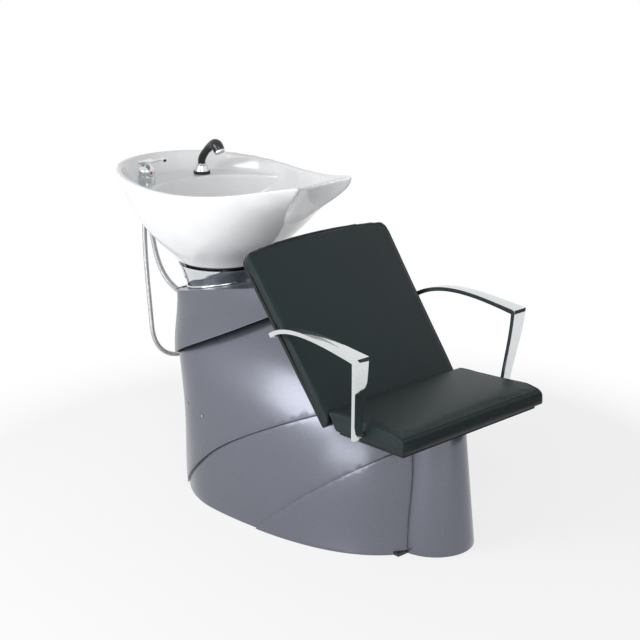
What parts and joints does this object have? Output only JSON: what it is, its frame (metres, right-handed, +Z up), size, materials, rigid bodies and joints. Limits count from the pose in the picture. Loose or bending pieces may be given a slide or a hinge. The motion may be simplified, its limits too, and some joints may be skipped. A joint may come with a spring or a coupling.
{
  "type": "salon backwash unit",
  "caption": "Salon backwash unit: reclined padded seat with bright arms on a sculpted shell base whose column carries a tilting ceramic basin with mixer tap and pull-out hand shower.",
  "frame": {"origin": "on the floor, at the centre of the four floor bolts", "axes": "+Z up, the sitter faces -Y, +X to the sitter's left"},
  "size_m": [0.64, 1.3412, 0.9297],
  "materials": {
    "lacquer": "metallic grey satin lacquer",
    "glaze": "white glaze",
    "chrome": "polished",
    "hose_metal": "braided",
    "vinyl": "black grained vinyl",
    "board": "covered",
    "black_plastic": "gloss",
    "rubber": "matt",
    "red": "gloss",
    "screw_steel": "bright",
    "frame_paint": "black powder coat"
  },
  "bodies": {
    "stand": {"arm_bolts": "screw_steel", "arm_left": "chrome", "arm_right": "chrome", "back_board": "board", "back_bracket": "frame_paint", "back_cushion": "vinyl", "collar_screws": "screw_steel", "column_lid": "lacquer", "column_shell": "lacquer", "floor_clips": "black_plastic", "floor_plate": "frame_paint", "front_cone": "lacquer", "front_foot": "frame_paint", "front_post": "frame_paint", "front_shell_left": "lacquer", "front_shell_right": "lacquer", "hatch_screws": "screw_steel", "head_plate": "frame_paint", "hinge_cheeks": "frame_paint", "hinge_pin": "screw_steel", "hose_grommet": "rubber", "lower_shell_left": "lacquer", "lower_shell_right": "lacquer", "main_post": "frame_paint", "middle_shell": "lacquer", "post_buffers": "rubber", "rear_hatch": "lacquer", "rest_posts": "frame_paint", "seat_beam": "frame_paint", "seat_board": "board", "seat_cushion": "vinyl", "seat_plate": "frame_paint", "seat_wedge": "frame_paint", "shell_screws": "screw_steel", "tilt_collar": "chrome", "waste_outlet": "black_plastic"},
    "basin": {"basin": "glaze", "tilt_saddle": "frame_paint", "saddle_bolts": "screw_steel", "drain_grid": "chrome", "drain_tail": "black_plastic", "drain_nut": "black_plastic", "tap_body": "chrome", "tap_nut": "screw_steel", "shower_socket": "chrome", "socket_gasket": "rubber", "socket_nut": "screw_steel", "shower_hose": "hose_metal", "hot_hose": "hose_metal", "cold_hose": "hose_metal", "waste_hose": "rubber"},
    "tap_cap": {"tap_cap": "chrome", "lever_pin": "chrome", "tap_marker": "red"},
    "tap_lever": {"tap_lever": "chrome"},
    "hand_shower": {"shower_handle": "black_plastic", "shower_ring": "chrome", "shower_rose": "chrome"}
  },
  "joints": [
    {"name": "basin_tilt", "type": "hinge", "parent": "stand", "child": "basin", "pos_m": [0, 0.375, 0.59], "axis": [1, 0, 0], "range_deg": [0, 8], "deforming": ["hot_hose", "cold_hose", "waste_hose"]},
    {"name": "tap_turn", "type": "hinge", "parent": "basin", "child": "tap_cap", "pos_m": [-0.12, 0.645, 0.85], "axis": [0, 0, 1], "range_deg": [-45, 45]},
    {"name": "tap_lift", "type": "hinge", "parent": "tap_cap", "child": "tap_lever", "pos_m": [-0.12, 0.657, 0.877], "axis": [-1, 0, 0], "range_deg": [0, 25]},
    {"name": "shower_lift", "type": "slide", "parent": "basin", "child": "hand_shower", "axis": [0, 0, 1], "range_m": [0, 0.25], "deforming": ["shower_hose"]}
  ]
}
